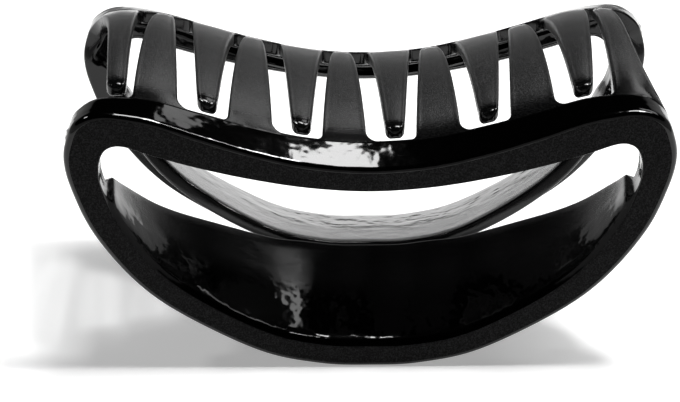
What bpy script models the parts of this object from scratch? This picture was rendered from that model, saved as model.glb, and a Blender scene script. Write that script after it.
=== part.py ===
"""Jaw hair clip lying on its two loops: two toothed jaws, a hinge pin and a torsion spring."""
import math

import bmesh
import bpy

for old in list(bpy.data.objects):
    bpy.data.objects.remove(old, do_unlink=True)

# Overall sizes in millimetres
MM = 0.001
FACE_Y = 23.0
ROOT_DEPTH = 5.0
SHOULDER_THICK = 2.2
SHOULDER_FILLET = 0.9
BACK_ROUND = 0.6
TOP_BACK_ROUND = 1.3
FRONT_EDGE = 0.3

# Plate that runs from the loop to the hinge
PLATE_SLOPE = 0.27
PLATE_EDGE_GAP = 0.3
PLATE_THICK = 2.2
PLATE_LIP = 1.5
PLATE_FILLET = 0.8
PLATE_HALF_WIDTH = 39.25
PLATE_EDGE_POWER = 2.1

# Teeth
TOOTH_CENTRES = (-31.0, -17.35, -3.7, 9.95, 23.6)
TOOTH_FOOT_LEFT = 3.9
TOOTH_FOOT_RIGHT = 4.8
FOOT_ROUND_LEFT = 1.0
FOOT_ROUND_RIGHT = 2.0
TOOTH_TIP_HALF = 1.3
TOOTH_TAPER = 2.0
TOOTH_TAPER_POWER = 0.85
TOOTH_LENGTH = 34.0
TOOTH_TIP_THICK = 1.9
LAST_TOOTH_LEFT = 35.2
LAST_TOOTH_RIGHT = 38.0
LAST_TOOTH_TAPER = 1.4
LAST_TOOTH_REACH = 3.7
LAST_TOOTH_FLARE = 5.0
LAST_TOOTH_RIB = 8.5
ARCH_RISE = 3.5

# Hinge
AXIS_Z = 6.2
KNUCKLE_R = 1.9
BORE_R = 1.1
FRONT_KNUCKLES = ((-11.0, -7.7), (4.0, 7.4))
KNUCKLE_WEB = ((-0.5, 9.0), (-4.6, 7.9), (-4.6, 6.4))
PIN_R = 0.8
PIN_HALF = 11.3
PIN_HEAD_R = 1.5
PIN_HEAD = 0.6

# Torsion spring
WIRE_R = 0.4
COIL_R = 1.5
COIL_TURNS = 6
COIL_PITCH = 0.9
LEG_REACH = 9.0
WIRE_SIDES = 8
COIL_STEPS = 12

# Ribs of the loop from the bottom round to the top: opening edge x and z, outer edge x and z,
# depth of the ring, depth of the shoulder, rise of the shoulder, rounding of the outer edge
RIBS = (
    (0.0, 3.5, 0.0, 0.0, 5.0, 5.0, 0.0, 0.8),
    (7.0, 3.8, 7.4, 0.35, 5.0, 5.0, 0.0, 0.8),
    (15.0, 5.8, 16.3, 2.5, 5.0, 5.0, 0.0, 0.8),
    (25.0, 11.2, 27.6, 8.55, 5.0, 5.0, 0.0, 0.8),
    (31.5, 16.5, 34.5, 14.1, 5.0, 5.0, 0.0, 0.9),
    (36.3, 23.3, 40.2, 21.6, 5.0, 5.0, 0.0, 1.0),
    (38.65, 29.0, 43.1, 28.4, 5.0, 5.0, 0.0, 1.0),
    (39.05, 31.8, 44.1, 33.0, 5.0, 5.0, 0.0, 1.1),
    (38.7, 33.8, 43.6, 36.4, 4.2, 5.0, 0.1, 1.2),
    (37.6, 35.15, 42.2, 39.1, 3.0, 5.0, 0.2, 1.2),
    (35.4, 35.4, 38.6, 40.6, 2.4, 5.0, 0.65, 1.2),
    (31.0, 33.9, 31.8, 39.65, 2.2, 5.0, 1.3, 1.2),
    (25.0, 32.1, 24.8, 37.2, 2.2, 5.0, 1.75, 1.2),
    (17.5, 30.3, 17.3, 34.75, 2.2, 5.0, 2.05, 1.2),
    (9.0, 28.85, 9.0, 32.75, 2.2, 5.0, 2.2, 1.2),
    (0.0, 28.25, 0.0, 32.0, 2.2, 5.0, 2.3, 1.2),
)
HALF_RIBS = len(RIBS) - 1

# Points of one section of the jaw, counted from the opening's front edge
ROOT_TOP = 6
ROOT_UNDER = 7
SECTION_POINTS = 16


def rib(index):
    """Row of the table, with the left half of the loop as the right half mirrored."""
    index = index % (2 * HALF_RIBS)
    if index <= HALF_RIBS:
        return RIBS[index]
    row = RIBS[2 * HALF_RIBS - index]
    return (-row[0], row[1], -row[2]) + row[3:]


def smooth_rib(u):
    """Values between the ribs, on a smooth curve through them (Catmull and Rom)."""
    i = math.floor(u)
    t = u - i
    p, q, r, s = (rib(i + k) for k in (-1, 0, 1, 2))
    out = []
    for a, b, c, d in zip(p, q, r, s):
        out.append(0.5 * (2 * b + (c - a) * t + (2 * a - 5 * b + 4 * c - d) * t ** 2
                          + (3 * b - a - 3 * c + d) * t ** 3))
    return out


def ease(t):
    """Smooth step from 0 to 1."""
    t = min(1.0, max(0.0, t))
    return t * t * (3.0 - 2.0 * t)


def mix(a, b, t):
    """Point between a and b."""
    return tuple(x + (y - x) * t for x, y in zip(a, b))


def plate_depth(x):
    """Reach of the plate behind the face at x: a nearly elliptic edge, straight at the hinge."""
    part = min(1.0, abs(x) / PLATE_HALF_WIDTH)
    oval = FACE_Y * (1.0 - (1.0 - part ** PLATE_EDGE_POWER) ** (1.0 / PLATE_EDGE_POWER))
    return FACE_Y - PLATE_EDGE_GAP - (oval - PLATE_EDGE_GAP) * ease((abs(x) - 7.0) / 7.0)


def section(u):
    """Closed section of the jaw at rib position u, as points x, y, z."""
    ix, iz, ox, oz, ring, depth, rise, fillet = smooth_rib(u)
    wide = math.hypot(ox - ix, oz - iz)
    ex = (ox - ix) / wide
    ez = (oz - iz) / wide
    turn = min(u, 2 * HALF_RIBS - u)
    lower = 1.0 - ease(turn - 6.9)
    reach = max(ring, plate_depth(ix) * lower)
    plate = ease((reach - ring) / 2.5)
    shoulder = ease((depth - ring) / 1.4)
    swing = math.pi / 2 - math.atan2(rise * 1.1, depth - 0.6)
    front = (wide - fillet * math.sin(swing), 0.0)
    arc = []
    for k in (1, 2, 3):
        a = swing * k / 3.0
        arc.append((front[0] + fillet * math.sin(a), fillet * (1.0 - math.cos(a))))
    r = BACK_ROUND
    bar = [(wide, (arc[2][1] + ring - r) / 2.0)]
    for k in range(4):
        a = math.pi / 6 * k
        bar.append((wide - r + r * math.cos(a), ring - r + r * math.sin(a)))
    f = SHOULDER_FILLET
    under = wide - SHOULDER_THICK
    lip = [(wide, (arc[2][1] + depth) / 2.0), (wide, depth), (under, depth),
           (under, ring + f), (under - f, ring)]
    outer = [mix(b, s, shoulder) for b, s in zip(bar, lip)]
    r += (TOP_BACK_ROUND - BACK_ROUND) * ease((turn - 8.5) / 2.0)
    inner_round = [(r - r * math.sin(math.pi / 6 * k), ring - r + r * math.cos(math.pi / 6 * k))
                   for k in range(4)]
    inner_round.append((0.0, (ring - r + FRONT_EDGE) / 2.0))
    g = min(PLATE_FILLET, 0.5 * (reach - ring))
    edge = PLATE_LIP + (PLATE_THICK - PLATE_LIP) * ease(abs(ix) / 25.0)
    leaf = [(PLATE_THICK + g, ring), (PLATE_THICK, ring + g), (edge, reach), (0.0, reach),
            (0.0, (reach + FRONT_EDGE) / 2.0)]
    inner = [mix(b, s, plate) for b, s in zip(inner_round, leaf)]
    flat = [(FRONT_EDGE, 0.0), front] + arc + outer + inner + [(0.0, FRONT_EDGE)]
    points = []
    for k, (a, b) in enumerate(flat):
        lift = 0.0
        if 4 < k < 9:
            t = (b - arc[2][1]) / (depth - arc[2][1])
            lift = rise * (1.12 * t - 0.12 * t * t)
        if k > 10:
            lift = PLATE_SLOPE * b * plate
        points.append((ix + ex * a, b - FACE_Y, iz + ez * a + lift))
    return points


def u_of_root(x):
    """Rib position where the outer edge of the top stands at x."""
    low = 8.6
    high = 2 * HALF_RIBS - 8.6
    for _ in range(50):
        mid = (low + high) / 2.0
        if smooth_rib(mid)[2] > x:
            low = mid
        else:
            high = mid
    return low


def root_height(x):
    """Height of the shoulder's back edge at x."""
    return section(u_of_root(max(-39.0, min(39.0, x))))[ROOT_TOP][2]


def columns():
    """Rib positions of the mesh columns, and the first column of each tooth."""
    side = [k / 2.0 for k in range(12)] + [6.0, 6.4, 6.8, 7.2, 7.6, 7.9, 8.2]
    foot = (-1.0, -0.55, 0.0, 0.55, 1.0)
    top = []
    starts = []
    last = [LAST_TOOTH_RIB] + [u_of_root(x) for x in (40.2, 38.0, 35.8, LAST_TOOTH_LEFT - FOOT_ROUND_LEFT)]
    starts.append(len(side))
    top.extend(last)
    right = LAST_TOOTH_LEFT - FOOT_ROUND_LEFT
    for centre in reversed(TOOTH_CENTRES):
        gap_from = centre + TOOTH_FOOT_RIGHT
        top.append(u_of_root((right + gap_from) / 2.0))
        starts.append(len(side) + len(top))
        top.extend(u_of_root(centre - f * (TOOTH_FOOT_RIGHT if f < 0.0 else TOOTH_FOOT_LEFT)) for f in foot)
        right = centre - TOOTH_FOOT_LEFT
    top.extend(u_of_root(x) for x in (right - 2.0, right - 4.2))
    ends = [8.9, 8.55, 8.2]
    left = [2 * HALF_RIBS - u for u in ends + side[:0:-1][1:]]
    return side + top + left, starts


def flare(foot, d):
    """Share of a rounded foot of that radius that is left at the distance d from the root."""
    near = max(0.0, 1.0 - d / foot)
    return 1.0 - math.sqrt(max(0.0, 1.0 - near * near))


def tooth_edges(centre, d):
    """Left and right edge of a tooth at the distance d from its root."""
    flare_left = flare(FOOT_ROUND_LEFT, d)
    flare_right = flare(FOOT_ROUND_RIGHT, d)
    run = max(0.0, 1.0 - d / TOOTH_LENGTH)
    half = TOOTH_TIP_HALF + TOOTH_TAPER * run ** TOOTH_TAPER_POWER
    if centre is None:
        right = LAST_TOOTH_RIGHT + LAST_TOOTH_TAPER * run + LAST_TOOTH_REACH * math.exp(-d / LAST_TOOTH_FLARE)
        left = LAST_TOOTH_LEFT - FOOT_ROUND_LEFT * flare_left
    else:
        right = centre + half + flare_right * (TOOTH_FOOT_RIGHT - half)
        left = centre - half - flare_left * (TOOTH_FOOT_LEFT - half)
    tip = TOOTH_LENGTH - d
    if tip < TOOTH_TIP_HALF:
        back = TOOTH_TIP_HALF - tip
        share = math.sqrt(max(0.04, 1.0 - (back / TOOTH_TIP_HALF) ** 2))
        middle = (left + right) / 2.0
        left = middle + (left - middle) * share
        right = middle + (right - middle) * share
    return left, right


def tooth_loops(centre, base_top):
    """Loops of points along a tooth, each with five points on top and five below."""
    across = (1.0, 0.7, 0.0, -0.7, -1.0)
    stations = (0.35, 0.9, 1.6, 4.0, 8.0, 12.0, 16.0, 20.0, 24.0, 28.0, 31.0, 32.65, 33.2, 33.6, 33.9)
    loops = []
    for d in stations:
        left, right = tooth_edges(centre, d)
        y = d + ROOT_DEPTH - FACE_Y
        arch = ARCH_RISE * (1.0 - (y / (FACE_Y - ROOT_DEPTH)) ** 2)
        keep = math.exp(-d / 3.0)
        grow = min(1.0, d / 1.6)
        blunt = ease((d - TOOTH_LENGTH + 1.2) / 1.2)
        thick = SHOULDER_THICK + (TOOTH_TIP_THICK - SHOULDER_THICK) * d / TOOTH_LENGTH
        top = []
        under = []
        for k, f in enumerate(across):
            x = (left + right) / 2.0 + f * (right - left) / 2.0
            z = root_height(x) * (1.0 - keep) + base_top[k][2] * keep + arch
            drop = grow * (0.45 if abs(f) == 1.0 else 0.0) + 0.45 * blunt
            raise_by = grow * (0.35 if abs(f) == 1.0 else 0.0) + 0.45 * blunt
            top.append((x, y, z - drop))
            under.append((x, y, z - thick + raise_by))
        loops.append(top + under[::-1])
    return loops


def jaw_mesh():
    """Points and faces of the front jaw: the loop with its plate and shoulder, and the teeth."""
    us, starts = columns()
    grid = [section(u) for u in us]
    count = len(grid)
    k_all = SECTION_POINTS
    points = [p for column in grid for p in column]
    faces = []
    feet = {}
    for number, start in enumerate(starts):
        for j in range(start, start + 4):
            feet[j] = number
    for j in range(count):
        n = (j + 1) % count
        for k in range(k_all):
            if k == ROOT_TOP and j in feet:
                continue
            m = (k + 1) % k_all
            faces.append((j * k_all + k, j * k_all + m, n * k_all + m, n * k_all + k))
    centres = [None] + list(reversed(TOOTH_CENTRES))
    for centre, start in zip(centres, starts):
        js = range(start, start + 5)
        last = [j * k_all + ROOT_TOP for j in js] + [j * k_all + ROOT_UNDER for j in reversed(js)]
        base_top = [points[i] for i in last[:5]]
        for loop in tooth_loops(centre, base_top):
            first = len(points)
            points.extend(loop)
            fresh = list(range(first, first + 10))
            for k in range(10):
                m = (k + 1) % 10
                faces.append((last[k], last[m], fresh[m], fresh[k]))
            last = fresh
        for k in range(4):
            faces.append((last[k], last[k + 1], last[8 - k], last[9 - k]))
    return points, faces


def half_turn(points):
    """The same points turned by half a turn about the upright axis."""
    return [(-x, -y, z) for x, y, z in points]


def knuckle_mesh(x0, x1):
    """Points and faces of one hinge barrel with its web up to the plate."""
    outline = []
    for k in range(15):
        a = math.radians(-140.0 + 235.0 * k / 14.0)
        outline.append((KNUCKLE_R * math.cos(a), AXIS_Z + KNUCKLE_R * math.sin(a)))
    outline.extend(KNUCKLE_WEB)
    count = len(outline)
    points = [(x0, y, z) for y, z in outline] + [(x1, y, z) for y, z in outline]
    faces = [tuple(range(count)), tuple(range(2 * count - 1, count - 1, -1))]
    for k in range(count):
        m = (k + 1) % count
        faces.append((k, m, count + m, count + k))
    return points, faces


def rod_mesh(profile, sides):
    """Turned body about the hinge axis from pairs of x and radius, with flat ends."""
    points = []
    faces = []
    for x, radius in profile:
        for k in range(sides):
            a = 2.0 * math.pi * k / sides
            points.append((x, radius * math.cos(a), AXIS_Z + radius * math.sin(a)))
    for j in range(len(profile) - 1):
        for k in range(sides):
            m = (k + 1) % sides
            faces.append((j * sides + k, j * sides + m, (j + 1) * sides + m, (j + 1) * sides + k))
    faces.append(tuple(range(sides)))
    end = (len(profile) - 1) * sides
    faces.append(tuple(range(end + sides - 1, end - 1, -1)))
    return points, faces


def spring_path():
    """Middle line of the wire: front leg, coil, rear leg, with the way it runs."""
    start_x = -COIL_PITCH * COIL_TURNS / 2.0
    low = AXIS_Z - COIL_R
    path = [((start_x, -LEG_REACH, low), (0.0, 1.0, 0.0)),
            ((start_x, -LEG_REACH / 2.0, low), (0.0, 1.0, 0.0))]
    steps = COIL_TURNS * COIL_STEPS
    for k in range(steps + 1):
        a = 2.0 * math.pi * k / COIL_STEPS
        x = start_x + COIL_PITCH * k / COIL_STEPS
        path.append(((x, COIL_R * math.sin(a), AXIS_Z - COIL_R * math.cos(a)),
                     (0.0, math.cos(a), math.sin(a))))
    path.append(((-start_x, LEG_REACH / 2.0, low), (0.0, 1.0, 0.0)))
    path.append(((-start_x, LEG_REACH, low), (0.0, 1.0, 0.0)))
    return path


def spring_mesh():
    """Round wire carried along its middle line."""
    points = []
    faces = []
    path = spring_path()
    for (px, py, pz), (_, ty, tz) in path:
        for k in range(WIRE_SIDES):
            a = 2.0 * math.pi * k / WIRE_SIDES
            out = WIRE_R * math.cos(a)
            side = WIRE_R * math.sin(a)
            points.append((px + side, py - out * tz, pz + out * ty))
    for j in range(len(path) - 1):
        for k in range(WIRE_SIDES):
            m = (k + 1) % WIRE_SIDES
            a = j * WIRE_SIDES
            b = a + WIRE_SIDES
            faces.append((a + k, a + m, b + m, b + k))
    faces.append(tuple(range(WIRE_SIDES)))
    end = (len(path) - 1) * WIRE_SIDES
    faces.append(tuple(range(end + WIRE_SIDES - 1, end - 1, -1)))
    return points, faces


def material(name, colour, metallic, roughness):
    """Plain surface with one colour."""
    made = bpy.data.materials.new(name)
    made.use_nodes = True
    shader = made.node_tree.nodes["Principled BSDF"]
    shader.inputs["Base Color"].default_value = colour
    shader.inputs["Metallic"].default_value = metallic
    shader.inputs["Roughness"].default_value = roughness
    return made


def add_object(name, points, faces, surface):
    """Object with its origin on the hinge axis, from points in millimetres."""
    mesh = bpy.data.meshes.new(name)
    local = [(x * MM, y * MM, (z - AXIS_Z) * MM) for x, y, z in points]
    mesh.from_pydata(local, [], faces)
    work = bmesh.new()
    work.from_mesh(mesh)
    bmesh.ops.recalc_face_normals(work, faces=work.faces)
    work.to_mesh(mesh)
    work.free()
    for face in mesh.polygons:
        face.use_smooth = True
    made = bpy.data.objects.new(name, mesh)
    made.location = (0.0, 0.0, AXIS_Z * MM)
    bpy.context.scene.collection.objects.link(made)
    made.data.materials.append(surface)
    return made


def join_on(target, tool, operation):
    """Exact union or cut of the target with a hidden tool body."""
    step = target.modifiers.new(tool.name, "BOOLEAN")
    step.operation = operation
    step.solver = "EXACT"
    step.object = tool
    tool.hide_render = True
    tool.display_type = "WIRE"


# Surfaces
BLACK = material("black_plastic", (0.012, 0.012, 0.013, 1.0), 0.0, 0.2)
STEEL = material("steel", (0.55, 0.55, 0.56, 1.0), 1.0, 0.3)

# Jaws
shape_points, shape_faces = jaw_mesh()
for name, turned in (("front_jaw", False), ("rear_jaw", True)):
    place = half_turn if turned else list
    jaw = add_object(name, place(shape_points), shape_faces, BLACK)
    for number, (x0, x1) in enumerate(FRONT_KNUCKLES):
        block_points, block_faces = knuckle_mesh(x0, x1)
        block = add_object(name + "_barrel_" + str(number + 1), place(block_points), block_faces, BLACK)
        join_on(jaw, block, "UNION")
    drill_points, drill_faces = rod_mesh(((-12.5, BORE_R), (12.5, BORE_R)), 20)
    drill = add_object(name + "_bore", drill_points, drill_faces, BLACK)
    join_on(jaw, drill, "DIFFERENCE")

# Hinge pin
pin_profile = ((-PIN_HALF - PIN_HEAD, PIN_HEAD_R), (-PIN_HALF, PIN_HEAD_R), (-PIN_HALF, PIN_R),
               (PIN_HALF, PIN_R), (PIN_HALF, PIN_HEAD_R), (PIN_HALF + PIN_HEAD, PIN_HEAD_R))
pin_points, pin_faces = rod_mesh(pin_profile, 16)
pin = add_object("hinge_pin", pin_points, pin_faces, STEEL)

# Spring
spring_points, spring_faces = spring_mesh()
spring = add_object("spring", spring_points, spring_faces, STEEL)
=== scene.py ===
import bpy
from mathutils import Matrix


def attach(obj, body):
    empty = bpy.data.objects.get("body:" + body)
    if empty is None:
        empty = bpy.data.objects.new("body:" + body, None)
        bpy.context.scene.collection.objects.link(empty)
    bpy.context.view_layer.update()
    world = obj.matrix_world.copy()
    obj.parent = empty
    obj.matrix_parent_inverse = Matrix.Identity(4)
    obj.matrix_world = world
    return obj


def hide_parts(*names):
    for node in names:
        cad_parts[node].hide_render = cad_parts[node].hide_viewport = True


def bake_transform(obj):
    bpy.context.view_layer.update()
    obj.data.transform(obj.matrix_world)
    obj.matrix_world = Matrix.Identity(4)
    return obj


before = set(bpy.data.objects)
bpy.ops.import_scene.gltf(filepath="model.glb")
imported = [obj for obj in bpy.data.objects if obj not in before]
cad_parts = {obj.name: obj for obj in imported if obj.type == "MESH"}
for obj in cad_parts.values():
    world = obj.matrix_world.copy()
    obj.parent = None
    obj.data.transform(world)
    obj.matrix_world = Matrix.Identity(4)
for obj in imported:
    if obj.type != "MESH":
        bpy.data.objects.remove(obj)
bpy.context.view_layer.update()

import math

import bmesh
import bpy
import numpy as np
from mathutils import Matrix


# The jaws
# Each jaw is one injection moulding in black styrene: a loop with a satin face and a glossy
# shoulder, a plate that slopes up to the hinge, and six teeth that arch over to the other jaw.
# Both come from the same tool, so the rear one is the front one turned by half a turn.

# Sizes of pieces are in millimetres, and MM is a millimetre in metres
MM = 0.001
FACE_Y = 23.0
ROOT_DEPTH = 5.0
AXIS_Z = 6.2
LIP_THICK = 2.2
LIP_EDGE = 0.32
LIP_FILLET = 0.9
FRONT_EDGE = 0.3
FACE_INSET = 0.45
FACE_END = 0.2
BACK_ROUND = 0.6
TOP_BACK_ROUND = 1.3

# Ribs of the loop from the bottom round to the top: opening edge x and z, outer edge x and z,
# depth of the ring, depth of the shoulder, rise of the shoulder, rounding of the outer edge
RIBS = np.array((
    (0.0, 3.5, 0.0, 0.0, 5.0, 5.0, 0.0, 0.8),
    (7.0, 3.8, 7.4, 0.35, 5.0, 5.0, 0.0, 0.8),
    (15.0, 5.8, 16.3, 2.5, 5.0, 5.0, 0.0, 0.8),
    (25.0, 11.2, 27.6, 8.55, 5.0, 5.0, 0.0, 0.8),
    (31.5, 16.5, 34.5, 14.1, 5.0, 5.0, 0.0, 0.9),
    (36.3, 23.3, 40.2, 21.6, 5.0, 5.0, 0.0, 1.0),
    (38.65, 29.0, 43.1, 28.4, 5.0, 5.0, 0.0, 1.0),
    (39.05, 31.8, 44.1, 33.0, 5.0, 5.0, 0.0, 1.1),
    (38.7, 33.8, 43.6, 36.4, 4.2, 5.0, 0.1, 1.2),
    (37.6, 35.15, 42.2, 39.1, 3.0, 5.0, 0.2, 1.2),
    (35.4, 35.4, 38.6, 40.6, 2.4, 5.0, 0.65, 1.2),
    (31.0, 33.9, 31.8, 39.65, 2.2, 5.0, 1.3, 1.2),
    (25.0, 32.1, 24.8, 37.2, 2.2, 5.0, 1.75, 1.2),
    (17.5, 30.3, 17.3, 34.75, 2.2, 5.0, 2.05, 1.2),
    (9.0, 28.85, 9.0, 32.75, 2.2, 5.0, 2.2, 1.2),
    (0.0, 28.25, 0.0, 32.0, 2.2, 5.0, 2.3, 1.2),
))
ROUND = 2 * (len(RIBS) - 1)

# Places round the loop, counted in rows of the table: where the plate starts to fade out, where
# the sides' even steps end, where the top with its teeth starts, and where its edge is read from
PLATE_ENDS = 6.9
SIDE_ENDS = 8.3
TOP_STARTS = 8.5
TOP_READ = 8.6

# How far out to each side the top's height is read
TOP_HALF = 39.0

# Depths past the ring over which the plate and the shoulder fade in, the bow of the shoulder's
# slope, and how the rounding in front of it is led into that slope
PLATE_FADE = 2.5
SHOULDER_FADE = 1.4
SHOULDER_BOW = 0.12
SLOPE_GAIN = 1.1
SLOPE_START = 0.6

# The plate behind the loop's lower half
PLATE_SLOPE = 0.27
PLATE_GAP = 0.3
PLATE_THICK = 2.2
PLATE_LIP = 1.5
PLATE_LIP_HALF = 25.0
PLATE_FILLET = 0.8
PLATE_EDGE = 0.42
PLATE_HALF = 39.25
PLATE_POWER = 2.1
HINGE_FLAT = 7.0
BROW_HIGH = 0.85
BROW_DEEP = 2.6

# The teeth, by the middle of each at its root
TEETH = (-31.0, -17.35, -3.7, 9.95, 23.6)
FOOT_LEFT = 3.9
FOOT_RIGHT = 4.8
ROUND_LEFT = 1.0
ROUND_RIGHT = 2.0
TIP_HALF = 1.3
TAPER = 2.0
TAPER_POWER = 0.85
TOOTH_LONG = 34.0
TIP_THICK = 1.9
TIP_THIN = 0.8
TOOTH_EDGE = 0.55
CROWN = 0.12
ARCH = 3.5
LAST_LEFT = 35.2
LAST_RIGHT = 38.0
LAST_TAPER = 1.4
LAST_REACH = 3.7
LAST_FLARE = 5.0
OWN_FADE = 2.4
EDGE_FADE = 3.0

# The rough mark on the loop's outer side where the runner was broken off, and the waves of its
# lumps in radians to the millimetre
GATE = (-43.2, -20.9, 37.0)
GATE_SIZE = (2.0, 1.0, 1.2)
GATE_HIGH = 0.35
LUMPS_UP = 6.1
LUMPS_SLANT = 2.0
LUMPS_BACK = 7.3

# How satin the skin is, from 0 for full gloss to 1: on the shoulder above a height, on the plate
# and at the teeth's tips. Then the lengths over which a tooth changes at its root and its tip
SHOULDER_SATIN = 0.2
SHOULDER_SATIN_FROM = 28.0
PLATE_SATIN = 0.22
TIP_SATIN = 0.15
ROOT_FADE = 5.0
LAST_ROOT_FADE = 10.0
TIP_GLOSS = 3.0
TIP_FADE = 1.5


def ease(t):
    """Smooth step: 3t^2 - 2t^3 of t held between 0 and 1."""
    t = np.clip(t, 0.0, 1.0)
    return t * t * (3.0 - 2.0 * t)


def loop_rib(u):
    """Rib values at places u round the loop, on the cubic through the table's rows: half of
    2b + (c-a)t + (2a-5b+4c-d)t^2 + (3b-a-3c+d)t^3, the left half being the right one mirrored."""
    rows = np.vstack((RIBS, RIBS[-2:0:-1] * (-1, 1, -1, 1, 1, 1, 1, 1)))
    i = np.floor(u).astype(int)
    t = (u - i)[:, None]
    a, b, c, d = (rows[(i + k) % ROUND] for k in (-1, 0, 1, 2))
    return 0.5 * (2 * b + (c - a) * t + (2 * a - 5 * b + 4 * c - d) * t ** 2
                  + (3 * b - a - 3 * c + d) * t ** 3)


def plate_reach(x):
    """Reach of the plate behind the face: the superellipse FACE_Y (1 - (x/PLATE_HALF)^p)^(1/p), led
    over to a straight edge PLATE_GAP short of the middle near the hinge."""
    part = np.minimum(1.0, np.abs(x) / PLATE_HALF)
    oval = FACE_Y * (1.0 - (1.0 - part ** PLATE_POWER) ** (1.0 / PLATE_POWER))
    return FACE_Y - PLATE_GAP - (oval - PLATE_GAP) * ease((np.abs(x) - HINGE_FLAT) / HINGE_FLAT)


def quarter(steps):
    """Sine and cosine of even steps over a quarter turn, one row for all sections."""
    a = np.linspace(0.0, math.pi / 2.0, steps)[None, :]
    return np.sin(a), np.cos(a)


def pair(a, b):
    """Section points from their two coordinates: across the loop, and back from the face."""
    return np.stack(np.broadcast_arrays(a, b), -1)


# Places of the points in one section, counted from the opening's front edge. The chain is the back
# edge of the shoulder, where the teeth grow, and the leaf is the plate
OPENING_EDGE = slice(0, 4)
FACE = slice(2, 8)
OUTER_ARC = slice(7, 16)
CHAIN_FROM = 21
CHAIN_TO = 30
UNDER_FILLET = slice(33, 38)
LEAF = slice(38, 66)
LEAF_FILLET = slice(38, 43)
LEAF_SATIN = slice(43, 58)
LEAF_TOP = 56
SECTION = 66


def jaw_sections(u):
    """Closed sections of the jaw at places u: a rounded outline in the plane across the loop,
    carried round it. Each point is the opening's edge, plus its distance across along the rib,
    plus its depth along y, plus a lift. The shoulder's lift is rise ((1 + b) p - b p^2), with p the
    share of its depth and b its bow, and the plate's is PLATE_SLOPE times the distance back."""
    ix, iz, ox, oz, ring, depth, rise, fillet = (v[:, None] for v in loop_rib(u).T)
    wide = np.hypot(ox - ix, oz - iz)
    ex = (ox - ix) / wide
    ez = (oz - iz) / wide
    turn = np.minimum(u, ROUND - u)[:, None]
    reach = np.maximum(ring, plate_reach(ix) * (1.0 - ease(turn - PLATE_ENDS)))
    plate = ease((reach - ring) / PLATE_FADE)
    shoulder = ease((depth - ring) / SHOULDER_FADE)[:, :, None]
    swing = math.pi / 2 - np.arctan2(rise * SLOPE_GAIN, depth - SLOPE_START)

    s, c = quarter(4)
    face = [pair(FRONT_EDGE * (1.0 - c) + 0.0 * wide, FRONT_EDGE * (1.0 - s))]
    front = wide - fillet * np.sin(swing)
    face.append(pair(np.hstack((0 * wide + FACE_INSET, wide / 2.0, front - FACE_END)), 0.0))
    a = swing * np.linspace(0.0, 1.0, 9)[None, :]
    face.append(pair(front + fillet * np.sin(a), fillet * (1.0 - np.cos(a))))
    start = fillet * (1.0 - np.cos(swing))

    # Run, away, home and along are shares of a straight stretch at which its points stand
    r = BACK_ROUND
    run = np.array((0.06, 0.28, 0.5, 0.72, 0.94))[None, :]
    s, c = quarter(10)
    away = np.linspace(0.1, 0.45, 7)[None, :]
    bar = [pair(wide, start + (ring - r - start) * run),
           pair(wide - r + r * c, ring - r + r * s),
           pair(wide - r - (wide - 2.0 * r) * away, ring)]
    under = wide - LIP_THICK
    e = LIP_EDGE
    s, c = quarter(5)
    lip = [pair(wide, start + (depth - e - start) * run),
           pair(wide - e * (1.0 - c), depth - e * (1.0 - s)),
           pair(under + e * (1.0 - s), depth - e * (1.0 - c)),
           pair(under, depth - e + (ring + LIP_FILLET - depth + e) * np.array([[0.3, 0.8]])),
           pair(under - LIP_FILLET * (1.0 - c), ring + LIP_FILLET * (1.0 - s))]
    bar = np.concatenate(bar, 1)
    lip = np.concatenate(lip, 1)
    outer = bar + (lip - bar) * shoulder

    r = BACK_ROUND + (TOP_BACK_ROUND - BACK_ROUND) * ease((turn - TOP_STARTS) / 2.0)
    home = 1.0 - np.array((0.9, 0.65, 0.4, 0.22, 0.13, 0.09, 0.06, 0.035, 0.018, 0.007))[None, :]
    s, c = quarter(18)
    bar = [pair(r - r * s, ring - r + r * c),
           pair(0.0, ring - r + (FRONT_EDGE - ring + r) * home)]
    g = np.minimum(PLATE_FILLET, 0.5 * (reach - ring))
    edge = PLATE_LIP + (PLATE_THICK - PLATE_LIP) * ease(np.abs(ix) / PLATE_LIP_HALF)
    q = PLATE_EDGE
    along = np.array((0.05, 0.3, 0.55, 0.8, 0.96))[None, :]
    s, c = quarter(5)
    leaf = [pair(PLATE_THICK + g * (1.0 - s), ring + g * (1.0 - c)),
            pair(PLATE_THICK + (edge - PLATE_THICK) * along, ring + g + (reach - q - ring - g) * along)]
    s, c = quarter(4)
    leaf += [pair(edge - q * (1.0 - c), reach - q * (1.0 - s)),
             pair(q * (1.0 - s), reach - q * (1.0 - c)),
             pair(0.0, reach - q + (FRONT_EDGE - reach + q) * home)]
    bar = np.concatenate(bar, 1)
    leaf = np.concatenate(leaf, 1)
    brow = leaf[:, LEAF_TOP - LEAF.start:]
    near = np.clip(1.0 - brow[:, :, 1] / BROW_DEEP, 0.0, 1.0)
    fall = np.clip((reach - brow[:, :, 1]) / (reach - FRONT_EDGE), 0.0, 1.0)
    brow[:, :, 0] -= BROW_HIGH * np.sqrt(1.0 - near ** 2) * fall
    inner = bar + (leaf - bar) * plate[:, :, None]

    flat = np.concatenate(face + [outer, inner], 1)
    across, back = flat[:, :, 0], flat[:, :, 1]
    part = (back - start) / (depth - start)
    lift = np.zeros_like(back)
    span = slice(OUTER_ARC.stop, UNDER_FILLET.stop)
    hold = np.ones(SECTION)
    hold[UNDER_FILLET] = np.cos(np.linspace(0.0, math.pi / 2, 5)) ** 2
    lift[:, span] = (rise * ((1.0 + SHOULDER_BOW) * part - SHOULDER_BOW * part ** 2) * hold[None, :])[:, span]
    hold[LEAF_FILLET] = ease(np.linspace(0.0, 1.0, 5))
    for part_of in (LEAF, OPENING_EDGE):
        lift[:, part_of] = (PLATE_SLOPE * back * plate * hold[None, :])[:, part_of]
    return np.stack((ix + ex * across, back - FACE_Y, iz + ez * across + lift), -1)


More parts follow.
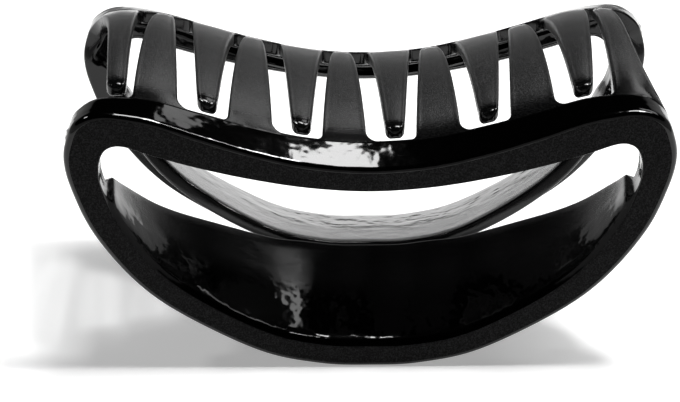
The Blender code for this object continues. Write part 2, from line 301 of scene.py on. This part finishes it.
def u_of_root(x):
    """Place round the loop where the top's outer edge stands at x, read off a fine run of it."""
    u = np.linspace(ROUND - TOP_READ, TOP_READ, 2000)
    return np.interp(x, loop_rib(u)[:, 2], u)


def root_height(x):
    """Height of the shoulder's back edge at x: the outer edge's z plus the shoulder's rise."""
    u = np.linspace(ROUND - TOP_READ, TOP_READ, 800)
    ribs = loop_rib(u)
    return np.interp(np.clip(x, -TOP_HALF, TOP_HALF), ribs[:, 2], ribs[:, 3] + ribs[:, 6])


# Sections in each foot, between two feet, beyond the last foot and down each side of the loop
FOOT_COLUMNS = 13
GAP_COLUMNS = 9
END_COLUMNS = 22
SIDE_COLUMNS = 84


def jaw_columns():
    """Places of the sections: even steps down the sides, and steps that follow the teeth's feet
    along the top, with the number of the first section of each foot."""
    places = [np.linspace(0.0, SIDE_ENDS, SIDE_COLUMNS)]
    starts = [SIDE_COLUMNS]
    places.append(np.linspace(TOP_STARTS, u_of_root(LAST_LEFT - ROUND_LEFT), FOOT_COLUMNS))
    right = LAST_LEFT - ROUND_LEFT
    for middle in TEETH[::-1]:
        gap = np.linspace(right, middle + FOOT_RIGHT, GAP_COLUMNS)[1:-1]
        foot = np.linspace(middle + FOOT_RIGHT, middle - FOOT_LEFT, FOOT_COLUMNS)
        places += [u_of_root(gap), u_of_root(foot)]
        starts.append(sum(len(p) for p in places) - FOOT_COLUMNS)
        right = middle - FOOT_LEFT
    end = float(u_of_root(right))
    places.append(np.linspace(end, ROUND - SIDE_ENDS, END_COLUMNS)[1:])
    places.append(np.linspace(ROUND - SIDE_ENDS, ROUND, SIDE_COLUMNS)[1:-1])
    return np.concatenate(places), starts


# Distances along a tooth from its root at which a loop of points stands
STATIONS = np.concatenate((
    (0.03, 0.1, 0.2, 0.34, 0.5, 0.7, 0.95, 1.25, 1.6, 2.0, 2.6, 3.4),
    np.linspace(4.5, 31.5, 22),
    TOOTH_LONG - TIP_HALF * (1.0 - np.sin(np.linspace(0.0, 1.45, 10))),
    (TOOTH_LONG - 0.004,),
))


def around(block):
    """Entries at the edge of a foot's block, in order round it."""
    return np.concatenate((block[:, 0], block[-1, 1:-1], block[::-1, -1], block[0, -2:0:-1]))


def tooth_loops(middle, foot):
    """Loops along one tooth. Seen from above, its edges taper by a power of the distance left and
    flare out in a quarter round at the root. Across, it is a rounded bar on an arch of
    height ARCH (1 - (y/18)^2). What the foot's own points differ from this by fades as
    exp(-d/OWN_FADE)."""
    d = np.concatenate(((0.0,), STATIONS))[:, None]
    run = np.clip(1.0 - d / TOOTH_LONG, 0.0, None)
    half = TIP_HALF + TAPER * run ** TAPER_POWER
    near_left = np.clip(1.0 - d / ROUND_LEFT, 0.0, 1.0)
    near_right = np.clip(1.0 - d / ROUND_RIGHT, 0.0, 1.0)
    flare_left = 1.0 - np.sqrt(1.0 - near_left ** 2)
    flare_right = 1.0 - np.sqrt(1.0 - near_right ** 2)
    if middle is None:
        swell = np.exp(-d / LAST_FLARE)
        right = LAST_RIGHT + LAST_TAPER * run + LAST_REACH * swell
        left = LAST_LEFT - ROUND_LEFT * flare_left
        near_right = np.sin(np.arctan(LAST_REACH / LAST_FLARE * swell))
    else:
        right = middle + half + flare_right * (FOOT_RIGHT - half)
        left = middle - half - flare_left * (FOOT_LEFT - half)
    slim = np.sqrt(1.0 - np.clip((d - TOOTH_LONG + TIP_HALF) / TIP_HALF, 0.0, 1.0) ** 2)
    thin = np.sqrt(1.0 - np.clip((d - TOOTH_LONG + TIP_THIN) / TIP_THIN, 0.0, 1.0) ** 2)
    centre = (left + right) / 2.0
    left = centre + (left - centre) * slim
    right = centre + (right - centre) * slim

    e = (LIP_EDGE + (TOOTH_EDGE - LIP_EDGE) * ease(d / EDGE_FADE)) * slim
    thick = LIP_THICK + (TIP_THICK - LIP_THICK) * d / TOOTH_LONG
    s, c = quarter(5)
    inset = np.hstack((e * (1.0 - s), e * (1.0 - c)))
    drop = np.hstack((e * (1.0 - c), thick - e * (1.0 - s)))
    y = d + ROOT_DEPTH - FACE_Y
    sides = []
    for x, near, way in ((right, near_right, -1.0), (left, near_left, 1.0)):
        sides.append((x + way * np.sqrt(1.0 - near ** 2) * inset, y - near * inset, drop))
    share = (foot[0, 0, 0] - foot[:, 0, 0]) / (foot[0, 0, 0] - foot[-1, 0, 0])
    rows = []
    last = CHAIN_TO - CHAIN_FROM
    for k in (0, last):
        xs = sides[0][0][:, k:k + 1] + (sides[1][0] - sides[0][0])[:, k:k + 1] * share[None, :]
        ys = sides[0][1][:, k:k + 1] + (sides[1][1] - sides[0][1])[:, k:k + 1] * share[None, :]
        crown = CROWN * (2.0 * share[None, :] - 1.0) ** 2 * ease(d / EDGE_FADE)
        rows.append((xs, ys, 0.0 * xs + drop[:, k:k + 1] + (crown if k == 0 else 0.0)))
    parts = [rows[0], tuple(v[:, 1:last] for v in sides[1]), tuple(v[:, ::-1] for v in rows[1]),
             tuple(v[:, last - 1:0:-1] for v in sides[0])]
    x, y_all, fall = (np.hstack([p[i] for p in parts]) for i in range(3))
    z = root_height(x) + ARCH * (1.0 - (y_all / (FACE_Y - ROOT_DEPTH)) ** 2)
    z = z - thick / 2.0 + (thick / 2.0 - fall) * thin
    loops = np.stack((x, y_all, z), -1)
    keep = np.exp(-d / OWN_FADE)[:, :, None]
    return (loops + keep * (around(foot) - loops[0])[None])[1:]


def wrapped(ids):
    """Quads of a grid of points that closes on itself both ways, given the points' numbers: each
    point, the next in its row, and those two in the next row."""
    on = np.roll(ids, -1, 0)
    return np.stack((ids, np.roll(ids, -1, 1), np.roll(on, -1, 1), on), -1)


def bands(ids):
    """Quads between neighbouring rows of points that close on themselves, the last row left free."""
    return wrapped(ids)[:-1].reshape(-1, 4)


def fan(ids, pole):
    """Triangles from a closed row of points to a pole."""
    return np.stack((ids, np.roll(ids, -1), np.full(len(ids), pole)), -1)


def jaw_mesh():
    """Points, quads, closing triangles, satin mask and face quads of the front jaw: the grid of
    sections with the back of the shoulder left open at each foot, and a tooth's loops carried on
    from there. The runner's mark pushes points out along x by half of one plus a product of two
    sines, times the exponential of minus the fourth power of the distance over GATE_SIZE."""
    u, starts = jaw_columns()
    body = jaw_sections(u)
    away = body - np.array(GATE)
    near = np.exp(-np.sum((away / GATE_SIZE) ** 2, -1) ** 2)
    back, up = away[:, :, 1], away[:, :, 2]
    lumps = np.sin(LUMPS_UP * up + LUMPS_SLANT * back) * np.sin(LUMPS_BACK * back + 1.0)
    body[:, :, 0] -= GATE_HIGH * near * (0.5 + 0.5 * lumps)
    count = len(u)
    number = np.arange(count * SECTION).reshape(count, SECTION)
    shut = np.ones((count, SECTION), bool)
    for start in starts:
        shut[start:start + FOOT_COLUMNS - 1, CHAIN_FROM:CHAIN_TO] = False
    points = [body.reshape(-1, 3)]
    quads = [wrapped(number)[shut]]
    tips = []
    mask = np.zeros((count, SECTION))
    high = ease((body[:, CHAIN_FROM:CHAIN_TO + 1, 2] - SHOULDER_SATIN_FROM) / 2.0)
    mask[:, CHAIN_FROM:CHAIN_TO + 1] = SHOULDER_SATIN * high
    mask[:, LEAF_SATIN] = PLATE_SATIN
    satin = [mask.ravel()]
    total = count * SECTION
    for middle, start in zip((None,) + TEETH[::-1], starts):
        block = slice(start, start + FOOT_COLUMNS)
        foot = body[block, CHAIN_FROM:CHAIN_TO + 1]
        loops = tooth_loops(middle, foot)
        rows, wide = loops.shape[:2]
        ids = number[block, CHAIN_FROM:CHAIN_TO + 1]
        ring = np.vstack((around(ids), total + np.arange(rows * wide).reshape(rows, wide)))
        quads.append(bands(ring))
        pole = total + rows * wide
        tips.append(fan(ring[-1], pole))
        points += [loops.reshape(-1, 3), loops[-1].mean(0)[None]]
        root = ease(STATIONS / (LAST_ROOT_FADE if middle is None else ROOT_FADE))
        tip = ease((STATIONS - TOOTH_LONG + TIP_GLOSS) / TIP_FADE)
        along = (SHOULDER_SATIN + (1.0 - SHOULDER_SATIN) * root) * (1.0 - (1.0 - TIP_SATIN) * tip)
        satin.append(np.append(np.repeat(along, wide), TIP_SATIN))
        total = pole + 1
    quads = np.concatenate(quads)
    place = quads[:, 0] % SECTION
    face = (quads[:, 0] < count * SECTION) & (place >= FACE.start) & (place < FACE.stop)
    return np.concatenate(points), quads, np.concatenate(tips), np.concatenate(satin), face


def add_piece(name, points, faces, surface, marks=()):
    """Object at the origin from points in millimetres and lists of faces, smooth, with its normals
    turned outwards and the given masks as point attributes."""
    mesh = bpy.data.meshes.new(name)
    mesh.from_pydata((np.asarray(points) * MM).tolist(), [], faces)
    for mark, values in marks:
        layer = mesh.attributes.new(mark, "FLOAT", "POINT")
        layer.data.foreach_set("value", np.ascontiguousarray(values, dtype=np.float32))
    work = bmesh.new()
    work.from_mesh(mesh)
    bmesh.ops.recalc_face_normals(work, faces=work.faces)
    work.to_mesh(mesh)
    work.free()
    mesh.polygons.foreach_set("use_smooth", np.ones(len(mesh.polygons), bool))
    piece = bpy.data.objects.new(name, mesh)
    bpy.context.scene.collection.objects.link(piece)
    mesh.materials.append(surface)
    return piece


def new_group(name, takes, gives):
    """Empty shader group with inputs given as (name, value) and outputs by name, all plain numbers."""
    group = bpy.data.node_groups.new(name, "ShaderNodeTree")
    for label, value in takes:
        socket = group.interface.new_socket(label, in_out="INPUT", socket_type="NodeSocketFloat")
        socket.default_value = value
    for label in gives:
        group.interface.new_socket(label, in_out="OUTPUT", socket_type="NodeSocketFloat")
    return group, group.nodes.new("NodeGroupInput"), group.nodes.new("NodeGroupOutput")


def math_node(tree, operation, *values, clamp=False):
    """Math node whose inputs are numbers or other nodes' sockets."""
    node = tree.nodes.new("ShaderNodeMath")
    node.operation = operation
    node.use_clamp = clamp
    for socket, value in zip(node.inputs, values):
        if isinstance(value, (int, float)):
            socket.default_value = value
        else:
            tree.links.new(value, socket)
    return node.outputs[0]


def noise(tree, vector, scale, detail=2.0, rough=0.5):
    """Noise texture's value at a scale in waves per metre."""
    node = tree.nodes.new("ShaderNodeTexNoise")
    node.inputs["Scale"].default_value = scale
    node.inputs["Detail"].default_value = detail
    node.inputs["Roughness"].default_value = rough
    tree.links.new(vector, node.inputs["Vector"])
    return node.outputs["Fac"]


# Skin of the moulding: fine grain and pale specks where the tool was left satin, a slow ripple
# where the plastic is bright, faint clouds and rubbing marks from use. Waves are counted per metre
GRAIN_WAVES = 5200.0
RIPPLE_WAVES = 260.0
RIPPLE_HIGH = 2.4
BRIGHT_GAIN = 3.0
CLOUD_WAVES = 380.0
CLOUD_ON_GLOSS = 0.03
CLOUD_ON_MATT = 0.12
GLOSS_ROUGH = 0.06
RUB_FROM = 0.62
RUB_GAIN = 1.6
RUB_ROUGH = 0.25
SPECK_FROM = 0.44
SPECK_GAIN = 3.5

skin, gets, puts = new_group("moulded_skin", (("Satin", 0.0), ("Matt", 0.36)),
                             ("Roughness", "Height", "Dust"))
where = skin.nodes.new("ShaderNodeTexCoord").outputs["Object"]
fine = noise(skin, where, GRAIN_WAVES, 3.0, 0.6)
slow = noise(skin, where, RIPPLE_WAVES, 2.0, 0.5)
cloud = noise(skin, where, CLOUD_WAVES, 3.0, 0.55)
stretch = skin.nodes.new("ShaderNodeMapping")
stretch.inputs["Rotation"].default_value = (0.3, 0.2, 0.5)
stretch.inputs["Scale"].default_value = (40.0, 900.0, 900.0)
skin.links.new(where, stretch.inputs["Vector"])
strokes = noise(skin, stretch.outputs[0], 4.0, 3.0, 0.7)
rubbed = math_node(skin, "SUBTRACT", strokes, RUB_FROM, clamp=True)
rubbed = math_node(skin, "MULTIPLY", rubbed, RUB_GAIN, clamp=True)
satin_in = gets.outputs["Satin"]
gloss = math_node(skin, "ADD", GLOSS_ROUGH, math_node(skin, "MULTIPLY", rubbed, RUB_ROUGH))
gloss = math_node(skin, "ADD", gloss, math_node(skin, "MULTIPLY", cloud, CLOUD_ON_GLOSS))
matt = math_node(skin, "ADD", gets.outputs["Matt"], math_node(skin, "MULTIPLY", cloud, CLOUD_ON_MATT))
gloss_share = math_node(skin, "SUBTRACT", 1.0, satin_in)
rough = math_node(skin, "ADD", math_node(skin, "MULTIPLY", matt, satin_in),
                  math_node(skin, "MULTIPLY", gloss, gloss_share))
skin.links.new(rough, puts.inputs["Roughness"])
grain = math_node(skin, "MULTIPLY", fine, satin_in)
bright = math_node(skin, "MULTIPLY", satin_in, BRIGHT_GAIN)
bright = math_node(skin, "SUBTRACT", 1.0, bright, clamp=True)
ripple = math_node(skin, "MULTIPLY", math_node(skin, "MULTIPLY", slow, RIPPLE_HIGH), bright)
skin.links.new(math_node(skin, "ADD", grain, ripple), puts.inputs["Height"])
speck = math_node(skin, "SUBTRACT", fine, SPECK_FROM, clamp=True)
speck = math_node(skin, "MULTIPLY", speck, SPECK_GAIN, clamp=True)
skin.links.new(math_node(skin, "MULTIPLY", speck, satin_in), puts.inputs["Dust"])


def coated(name, group, veil, under, over, bump):
    """New material, its group node and its shader: the group gives the roughness and the relief,
    whose depth is in metres, and its output named veil mixes the colour under with the one over."""
    made = bpy.data.materials.new(name)
    made.use_nodes = True
    tree = made.node_tree
    shader = tree.nodes["Principled BSDF"]
    finish = tree.nodes.new("ShaderNodeGroup")
    finish.node_tree = group
    shade = tree.nodes.new("ShaderNodeMix")
    shade.data_type = "RGBA"
    shade.inputs["A"].default_value = (*under, 1.0)
    shade.inputs["B"].default_value = (*over, 1.0)
    tree.links.new(finish.outputs[veil], shade.inputs["Factor"])
    tree.links.new(shade.outputs["Result"], shader.inputs["Base Color"])
    tree.links.new(finish.outputs["Roughness"], shader.inputs["Roughness"])
    relief = tree.nodes.new("ShaderNodeBump")
    relief.inputs["Distance"].default_value = bump
    tree.links.new(finish.outputs["Height"], relief.inputs["Height"])
    tree.links.new(relief.outputs["Normal"], shader.inputs["Normal"])
    return made, finish, shader


# Brightness of the black itself, as a base colour
BLACK = 0.0003


def plastic(name, matt, bump, level, speck, satin_mark=None):
    """Black styrene with the moulded skin: how rough its satin parts are, the depth of its relief in
    metres, how strongly it mirrors and the brightness of its specks. The mesh's mark says how satin
    each point is, and without one all of it is."""
    made, finish, shader = coated(name, skin, "Dust", (BLACK, BLACK, BLACK * 1.03),
                                  (speck, speck, speck * 1.02), bump)
    shader.inputs["Specular IOR Level"].default_value = level
    finish.inputs["Matt"].default_value = matt
    finish.inputs["Satin"].default_value = 1.0
    if satin_mark:
        mask = made.node_tree.nodes.new("ShaderNodeAttribute")
        mask.attribute_name = satin_mark
        made.node_tree.links.new(mask.outputs["Fac"], finish.inputs["Satin"])
    return made


black = plastic("black_styrene", matt=0.36, bump=0.00006, level=0.35, speck=0.042, satin_mark="satin")
face_black = plastic("satin_styrene", matt=0.38, bump=0.00012, level=0.05, speck=0.018)

points, quads, tips, satin, face = jaw_mesh()
all_faces = quads.tolist() + tips.tolist()
for name, node, body, turn in (("front_jaw_moulding", "front_jaw", "front_half", 1.0),
                               ("rear_jaw_moulding", "rear_jaw", "rear_half", -1.0)):
    jaw = add_piece(name, points * (turn, turn, 1.0), all_faces, black, (("satin", satin),))
    jaw.data.materials.append(face_black)
    jaw.data.polygons.foreach_set("material_index", np.append(face, np.zeros(len(tips))).astype(np.int32))
    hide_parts(node)
    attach(jaw, body)


# The hinge barrels
# Two short tubes stand under each plate's edge, moulded in one with it on a web, and mesh with
# the other jaw's two like the knuckles of a door hinge.
BARREL_R = 1.9
BARREL_FROM = -140.0
BARREL_TO = 92.0
BORE_R = 1.1
BARREL_EDGE = 0.15
BARREL_SATIN = 0.3
BARRELS = ((-11.0, -7.7), (4.0, 7.4))
WEB = ((-0.5, 9.0), (-2.5, 8.45), (-4.6, 7.9), (-4.6, 7.1), (-4.6, 6.4), (-3.2, 5.7))


def barrel_mesh(x0, x1):
    """Ring-shaped tube along x: outside, an arc between two angles in degrees and the web's corners,
    inside, the round bore, joined by end faces whose corners are rounded in two steps."""
    a = np.radians(np.linspace(BARREL_FROM, BARREL_TO, 36))
    round_part = np.stack((BARREL_R * np.cos(a), AXIS_Z + BARREL_R * np.sin(a)), -1)
    outline = np.concatenate((round_part, WEB))
    axis = np.array((0.0, AXIS_Z))
    out = outline - axis
    far = np.hypot(out[:, 0], out[:, 1])[:, None]
    unit = out / far
    e = BARREL_EDGE
    profile = ((x0 + e, 0.0), (x0 + 0.3 * e, 0.3 * e), (x0, e), (x0, None), (x0 + e, -1.0),
               (x1 - e, -1.0), (x1, None), (x1, e), (x1 - 0.3 * e, 0.3 * e), (x1 - e, 0.0))
    rings = []
    for x, back in profile:
        radius = BORE_R + e if back is None else (BORE_R if back < 0.0 else far - back)
        flat = axis + unit * radius
        rings.append(np.column_stack((np.full(len(flat), x), flat)))
    grid = np.array(rings)
    ids = np.arange(grid.shape[0] * grid.shape[1]).reshape(grid.shape[:2])
    return grid.reshape(-1, 3), wrapped(ids).reshape(-1, 4).tolist()


for turn, half, body in ((1.0, "front", "front_half"), (-1.0, "rear", "rear_half")):
    for side, (x0, x1) in zip(("left", "right"), BARRELS):
        tube_points, tube_faces = barrel_mesh(x0, x1)
        barrel = add_piece(f"{half}_jaw_barrel_{side}", tube_points * (turn, turn, 1.0), tube_faces, black,
                           (("satin", np.full(len(tube_points), BARREL_SATIN)),))
        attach(barrel, body)


# The hinge pin
# A cut length of drawn steel wire, pushed through the four barrels and then headed flat at both
# ends, so that it holds the jaws together and lets them turn.
PIN_R = 0.8
PIN_HALF = 11.3
HEAD_R = 1.5
HEAD_LONG = 0.6

lines, gets, puts = new_group("drawn_steel", (("Streaks", 0.1), ("Base", 0.22)),
                              ("Roughness", "Height", "Stain"))
where = lines.nodes.new("ShaderNodeTexCoord").outputs["Object"]
stretch = lines.nodes.new("ShaderNodeMapping")
stretch.inputs["Scale"].default_value = (120.0, 2600.0, 2600.0)
lines.links.new(where, stretch.inputs["Vector"])
streak = noise(lines, stretch.outputs[0], 1.0, 4.0, 0.65)
blotch = noise(lines, where, 900.0, 2.0, 0.5)
drawn = math_node(lines, "MULTIPLY", streak, gets.outputs["Streaks"])
stain = math_node(lines, "SUBTRACT", blotch, 0.5, clamp=True)
stain = math_node(lines, "MULTIPLY", stain, 2.0, clamp=True)
lines.links.new(math_node(lines, "ADD", gets.outputs["Base"], drawn), puts.inputs["Roughness"])
lines.links.new(streak, puts.inputs["Height"])
lines.links.new(stain, puts.inputs["Stain"])

steel, _, shader = coated("drawn_steel_wire", lines, "Stain", (0.56, 0.56, 0.57),
                          (0.33, 0.31, 0.29), 0.00001)
shader.inputs["Metallic"].default_value = 1.0


def turned(profile, sides):
    """Body of revolution about the hinge axis from a profile of (x, radius), closed by poles."""
    x, r = np.array(profile).T
    a = np.linspace(0.0, 2.0 * math.pi, sides, endpoint=False)
    grid = np.stack((x[:, None] + 0.0 * a, r[:, None] * np.cos(a), AXIS_Z + r[:, None] * np.sin(a)), -1)
    total = len(x) * sides
    ids = np.arange(total).reshape(len(x), sides)
    faces = bands(ids).tolist() + fan(ids[0], total).tolist() + fan(ids[-1], total + 1).tolist()
    poles = ((x[0], 0.0, AXIS_Z), (x[-1], 0.0, AXIS_Z))
    return np.concatenate((grid.reshape(-1, 3), poles)), faces


end = PIN_HALF + HEAD_LONG
half_pin = [(PIN_HALF - 0.5, PIN_R), (PIN_HALF - 0.06, PIN_R), (PIN_HALF, PIN_R + 0.06),
            (PIN_HALF, HEAD_R - 0.12), (PIN_HALF + 0.04, HEAD_R - 0.03), (PIN_HALF + 0.14, HEAD_R),
            (end - 0.25, HEAD_R), (end - 0.1, HEAD_R - 0.05), (end - 0.02, HEAD_R - 0.2), (end, HEAD_R - 0.5)]
pin_profile = [(-x, r) for x, r in half_pin[::-1]] + [(0.0, PIN_R)] + half_pin
pin_points, pin_faces = turned(pin_profile, 40)
pin = add_piece("hinge_pin_wire", pin_points, pin_faces, steel)
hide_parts("hinge_pin")
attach(pin, "rear_half")


# The spring
# A torsion spring wound from round steel wire: six coils about the pin, and a straight leg that
# presses up under each plate.
WIRE_R = 0.4
COIL_R = 1.5
TURNS = 6
PITCH = 0.9
LEG = 9.0


def spring_tube(sides=16, steps=40):
    """Round tube along its middle line: a straight leg, a helix about the hinge axis, and the other
    leg. Each ring lies in the plane of x and the outward normal of the line, and the ends close in
    three smaller rings."""
    start = -PITCH * TURNS / 2.0
    low = AXIS_Z - COIL_R
    close = 0.3 * WIRE_R
    lead = np.concatenate(((-LEG, -LEG + 0.02, -LEG + 0.06, -LEG + close), np.linspace(-8.0, -0.6, 12)))
    size = np.ones(len(lead))
    size[:4] = (0.35, 0.62, 0.85, 1.0)
    a = np.linspace(0.0, 2.0 * math.pi * TURNS, TURNS * steps + 1)
    x = np.concatenate((np.full(len(lead), start), start + PITCH * a / (2.0 * math.pi),
                        np.full(len(lead), -start)))
    y = np.concatenate((lead, COIL_R * np.sin(a), -lead[::-1]))
    z = np.concatenate((0.0 * lead + low, AXIS_Z - COIL_R * np.cos(a), 0.0 * lead + low))
    ty = np.concatenate((0.0 * lead + 1.0, np.cos(a), 0.0 * lead + 1.0))
    tz = np.concatenate((0.0 * lead, np.sin(a), 0.0 * lead))
    radius = WIRE_R * np.concatenate((size, np.ones(len(a)), size[::-1]))
    b = np.linspace(0.0, 2.0 * math.pi, sides, endpoint=False)
    out = radius[:, None] * np.cos(b)
    along = radius[:, None] * np.sin(b)
    grid = np.stack((x[:, None] + along, y[:, None] - out * tz[:, None], z[:, None] + out * ty[:, None]), -1)
    ids = np.arange(len(x) * sides).reshape(len(x), sides)
    return grid.reshape(-1, 3), bands(ids).tolist() + [ids[0].tolist(), ids[-1].tolist()]


spring_points, spring_faces = spring_tube()
spring = add_piece("spring_wire", spring_points, spring_faces, steel)
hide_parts("spring")
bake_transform(spring)


# The studio
# A white table under a soft key light from the upper right and a faint lamp from the left, with
# pale cards hung over it that show in the gloss and a low bright wall all round it. The table's
# own glow stands for the light of the room.
FLOOR_HALF = 1.5

floor_mesh = bpy.data.meshes.new("floor")
corners = [(x * FLOOR_HALF, y * FLOOR_HALF, 0.0) for x, y in ((-1, -1), (1, -1), (1, 1), (-1, 1))]
floor_mesh.from_pydata(corners, [], [(0, 1, 2, 3)])
floor = bpy.data.objects.new("floor", floor_mesh)
bpy.context.scene.collection.objects.link(floor)
white = bpy.data.materials.new("white_table")
white.use_nodes = True
table = white.node_tree.nodes["Principled BSDF"]
table.inputs["Base Color"].default_value = (0.86, 0.86, 0.86, 1.0)
table.inputs["Roughness"].default_value = 0.9
table.inputs["Specular IOR Level"].default_value = 0.1
table.inputs["Emission Color"].default_value = (1.0, 1.0, 1.0, 1.0)
table.inputs["Emission Strength"].default_value = 0.33
floor_mesh.materials.append(white)


def soft_light(name, place, aim, wide, tall, power):
    """Rectangular area light at a place in metres, turned to face a point. Its tall side runs along
    y less the part of y that lies along the aim, and its wide side square to that and to the aim.
    Wide and tall are in metres and power in watts."""
    lamp = bpy.data.lights.new(name, "AREA")
    lamp.shape = "RECTANGLE"
    lamp.size = wide
    lamp.size_y = tall
    lamp.energy = power
    held = bpy.data.objects.new(name, lamp)
    bpy.context.scene.collection.objects.link(held)
    way = np.array(aim, float) - np.array(place, float)
    way = way / np.linalg.norm(way)
    up = np.array((0.0, 1.0, 0.0)) - way[1] * way
    up = up / np.linalg.norm(up)
    side = np.cross(way, up)
    turn = np.identity(4)
    turn[:3, 0] = side
    turn[:3, 1] = up
    turn[:3, 2] = -way
    turn[:3, 3] = place
    held.matrix_world = Matrix(turn.tolist())
    held.visible_camera = False


soft_light("key_light", (0.30, 0.0, 1.0), (0.0, 0.0, 0.03), 0.12, 0.2, 5.0)
soft_light("front_strip", (0.42, -0.02, 1.0), (0.42, -0.02, 0.0), 0.4, 0.05, 2.6)
soft_light("top_card", (0.14, 0.1, 1.0), (0.14, 0.1, 0.0), 0.26, 0.28, 5.4)
soft_light("back_card", (0.66, 0.72, 1.0), (0.66, 0.72, 0.0), 0.7, 0.46, 3.0)
soft_light("side_card", (0.78, 0.35, 1.0), (0.78, 0.35, 0.0), 0.52, 0.4, 2.0)
soft_light("left_lamp", (-0.60, 0.03, 0.75), (0.0, 0.0, 0.03), 0.1, 0.12, 1.0)

world = bpy.data.worlds.new("studio_walls")
bpy.context.scene.world = world
world.use_nodes = True
tree = world.node_tree
split = tree.nodes.new("ShaderNodeSeparateXYZ")
tree.links.new(tree.nodes.new("ShaderNodeTexCoord").outputs["Generated"], split.inputs[0])

# Heights on the wall, as the z of the way towards them, and the brightness there
WALL = ((0.0, 0.42), (0.3, 0.3), (0.42, 0.24), (0.48, 0.0))
ramp = tree.nodes.new("ShaderNodeValToRGB")
cells = ramp.color_ramp.elements
while len(cells) < len(WALL):
    cells.new(0.5)
for cell, (at, value) in zip(cells, WALL):
    cell.position = at
    cell.color = (value, value, value, 1.0)
tree.links.new(split.outputs["Z"], ramp.inputs["Fac"])
tree.links.new(ramp.outputs["Color"], tree.nodes["Background"].inputs["Color"])
tree.nodes["Background"].inputs["Strength"].default_value = 1.0

# The camera's angles in degrees, its sensor and focal length in millimetres and its place in
# metres, as fitted to the photograph
ELEVATION = 23.9103
YAW = 0.71945
ROLL = -0.04102
SENSOR = 36.0
FOCAL = 2713.52 / 680.0 * SENSOR
EYE = (-0.0089108, -0.3807936, 0.1855308)
down, yaw, roll = (math.radians(v) for v in (ELEVATION, YAW, ROLL))
ahead = np.array((math.sin(yaw) * math.cos(down), math.cos(yaw) * math.cos(down), -math.sin(down)))
right = np.array((math.cos(yaw), -math.sin(yaw), 0.0))
up = np.cross(right, ahead)
lens = bpy.data.cameras.new("camera")
lens.sensor_width = SENSOR
lens.lens = FOCAL
lens.clip_start = 0.01
camera = bpy.data.objects.new("camera", lens)
bpy.context.scene.collection.objects.link(camera)
place = np.identity(4)
place[:3, 0] = math.cos(roll) * right + math.sin(roll) * up
place[:3, 1] = -math.sin(roll) * right + math.cos(roll) * up
place[:3, 2] = -ahead
place[:3, 3] = EYE
camera.matrix_world = Matrix(place.tolist())
bpy.context.scene.camera = camera
bpy.context.scene.view_settings.view_transform = "Standard"
